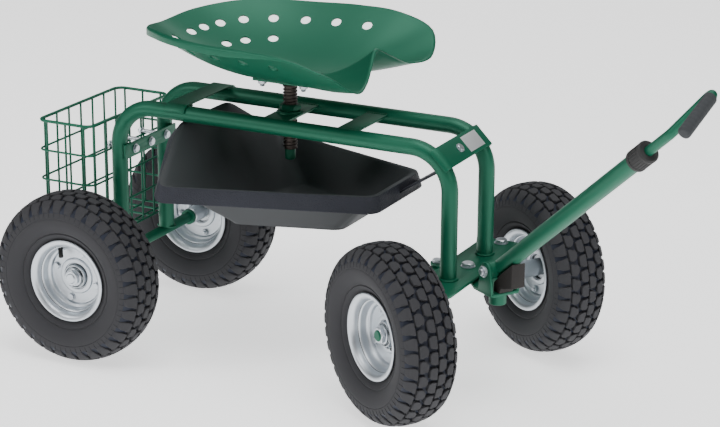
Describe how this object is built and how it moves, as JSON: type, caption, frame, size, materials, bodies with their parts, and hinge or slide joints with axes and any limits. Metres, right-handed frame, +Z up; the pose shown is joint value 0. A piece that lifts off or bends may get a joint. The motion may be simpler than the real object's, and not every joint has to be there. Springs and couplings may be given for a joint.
{
  "type": "garden work seat cart",
  "caption": "Low rolling garden seat: bent tube frame on pneumatic tyres with a swivel tractor seat, tool tray, wire basket and a telescopic pull handle that steers the front wheels.",
  "frame": {"origin": "on the ground at the middle of the cart's bounding box, in the pose of the picture", "axes": "+X forward from the rear axle to the front axle, +Y to the cart's left, +Z up"},
  "size_m": [1.1144, 0.5872, 0.5513],
  "materials": {
    "green_powder_coat": "glossy dark green powder coat",
    "zinc_plating": "bright bluish zinc plating on pressed sheet and fasteners",
    "dark_steel": "oiled dark steel thread",
    "tyre_rubber": "charcoal tyre rubber with block tread",
    "valve_rubber": "matt black rubber",
    "black_plastic": "fine-grained black plastic",
    "grip_foam": "closed-cell foam rubber sleeve",
    "tray_plastic": "dark grey moulded plastic with a pebbled skirt"
  },
  "bodies": {
    "frame": {"axle_nut_rear_left": "zinc_plating", "axle_nut_rear_right": "zinc_plating", "basket_bolt_left": "zinc_plating", "basket_bolt_middle": "zinc_plating", "basket_bolt_right": "zinc_plating", "frame_tube_left": "green_powder_coat", "frame_tube_right": "green_powder_coat", "front_axle_plate": "green_powder_coat", "front_clip_plate": "green_powder_coat", "front_cross_plate": "green_powder_coat", "kingpin_left": "zinc_plating", "kingpin_right": "zinc_plating", "rear_axle": "green_powder_coat", "rear_bracket_bar": "green_powder_coat", "rear_cross_strap": "green_powder_coat", "seat_cross_plate": "green_powder_coat", "seat_nut": "green_powder_coat", "steering_pivot_bolt": "zinc_plating", "tool_tray": "tray_plastic", "tray_front_bolt": "zinc_plating", "wire_basket": "green_powder_coat"},
    "seat": {"seat_pan": "green_powder_coat", "seat_bracket": "green_powder_coat", "seat_screw": "dark_steel"},
    "seat_screw_foot": {"screw_end_cap": "green_powder_coat"},
    "steering": {"steering_arm": "green_powder_coat", "handle_pivot_bolt": "zinc_plating", "handle_bumper": "valve_rubber", "tie_rod_inner_bolt_left": "zinc_plating", "tie_rod_inner_bolt_right": "zinc_plating"},
    "knuckle_left": {"knuckle_left": "green_powder_coat", "tie_rod_outer_bolt_left": "zinc_plating", "axle_nut_front_left": "zinc_plating"},
    "knuckle_right": {"knuckle_right": "green_powder_coat", "tie_rod_outer_bolt_right": "zinc_plating", "axle_nut_front_right": "zinc_plating"},
    "tie_rod_left": {"tie_rod_left": "green_powder_coat"},
    "tie_rod_right": {"tie_rod_right": "green_powder_coat"},
    "handle": {"handle_tube": "green_powder_coat"},
    "handle_collar": {"handle_collar": "black_plastic"},
    "handle_rod": {"handle_rod": "green_powder_coat", "handle_grip": "grip_foam"},
    "wheel_front_left": {"tyre_front_left": "tyre_rubber", "rim_outer_front_left": "zinc_plating", "rim_inner_front_left": "zinc_plating", "valve_stem_front_left": "valve_rubber"},
    "wheel_front_right": {"tyre_front_right": "tyre_rubber", "rim_outer_front_right": "zinc_plating", "rim_inner_front_right": "zinc_plating", "valve_stem_front_right": "valve_rubber"},
    "wheel_rear_left": {"tyre_rear_left": "tyre_rubber", "rim_outer_rear_left": "zinc_plating", "rim_inner_rear_left": "zinc_plating", "valve_stem_rear_left": "valve_rubber"},
    "wheel_rear_right": {"tyre_rear_right": "tyre_rubber", "rim_outer_rear_right": "zinc_plating", "rim_inner_rear_right": "zinc_plating", "valve_stem_rear_right": "valve_rubber"}
  },
  "joints": [
    {"name": "seat_lift", "type": "slide", "parent": "frame", "child": "seat_screw_foot", "axis": [0, 0, 1], "range_m": [-0.0181, 0.0351]},
    {"name": "seat_turn", "type": "hinge", "parent": "seat_screw_foot", "child": "seat", "pos_m": [-0.16616, 0.01982, 0.4], "axis": [0, 0, 1], "range_deg": [-1296, 2520]},
    {"name": "steering_turn", "type": "hinge", "parent": "frame", "child": "steering", "pos_m": [0.12384, 0.01982, 0.17], "axis": [0, 0, 1], "range_deg": [-7.5, 72.5]},
    {"name": "handle_tilt", "type": "hinge", "parent": "steering", "child": "handle", "pos_m": [0.19046, -0.02263, 0.199], "axis": [-0.5373, -0.8434, 0], "range_deg": [0, 52]},
    {"name": "collar_twist", "type": "hinge", "parent": "handle", "child": "handle_collar", "pos_m": [0.19046, -0.02263, 0.199], "axis": [0.6628, -0.4222, 0.6184], "range_deg": [0, 180]},
    {"name": "handle_extend", "type": "slide", "parent": "handle", "child": "handle_rod", "axis": [0.6628, -0.4222, 0.6184], "range_m": [0, 0.2]},
    {"name": "knuckle_left_turn", "type": "hinge", "parent": "frame", "child": "knuckle_left", "pos_m": [0.12384, 0.13932, 0.15], "axis": [0, 0, 1], "range_deg": [-7.6, 72.6]},
    {"name": "tie_rod_left_turn", "type": "hinge", "parent": "steering", "child": "tie_rod_left", "pos_m": [0.07853, 0.0641, 0.162], "axis": [0, 0, 1], "range_deg": [-72.6, 7.6]},
    {"name": "wheel_front_left_spin", "type": "hinge", "parent": "knuckle_left", "child": "wheel_front_left", "pos_m": [0.16145, 0.19836, 0.129], "axis": [0.5373, 0.8434, 0], "continuous": true},
    {"name": "wheel_rear_left_spin", "type": "hinge", "parent": "frame", "child": "wheel_rear_left", "pos_m": [-0.42816, 0.19782, 0.129], "axis": [0, 1, 0], "continuous": true},
    {"name": "knuckle_right_turn", "type": "hinge", "parent": "frame", "child": "knuckle_right", "pos_m": [0.12384, -0.09968, 0.15], "axis": [0, 0, 1], "range_deg": [-7.6, 72.6]},
    {"name": "tie_rod_right_turn", "type": "hinge", "parent": "steering", "child": "tie_rod_right", "pos_m": [0.06456, 0.04217, 0.162], "axis": [0, 0, 1], "range_deg": [-72.6, 7.6]},
    {"name": "wheel_front_right_spin", "type": "hinge", "parent": "knuckle_right", "child": "wheel_front_right", "pos_m": [0.08623, -0.15872, 0.129], "axis": [0.5373, 0.8434, 0], "continuous": true},
    {"name": "wheel_rear_right_spin", "type": "hinge", "parent": "frame", "child": "wheel_rear_right", "pos_m": [-0.42816, -0.15818, 0.129], "axis": [0, 1, 0], "continuous": true}
  ],
  "couplings": [
    {"joint": "seat_lift", "follows": "seat_turn", "m_per_rad": 0.00079577},
    {"joint": "knuckle_left_turn", "follows": "steering_turn", "ratio": 1},
    {"joint": "knuckle_right_turn", "follows": "steering_turn", "ratio": 1},
    {"joint": "tie_rod_left_turn", "follows": "steering_turn", "ratio": -1},
    {"joint": "tie_rod_right_turn", "follows": "steering_turn", "ratio": -1}
  ]
}
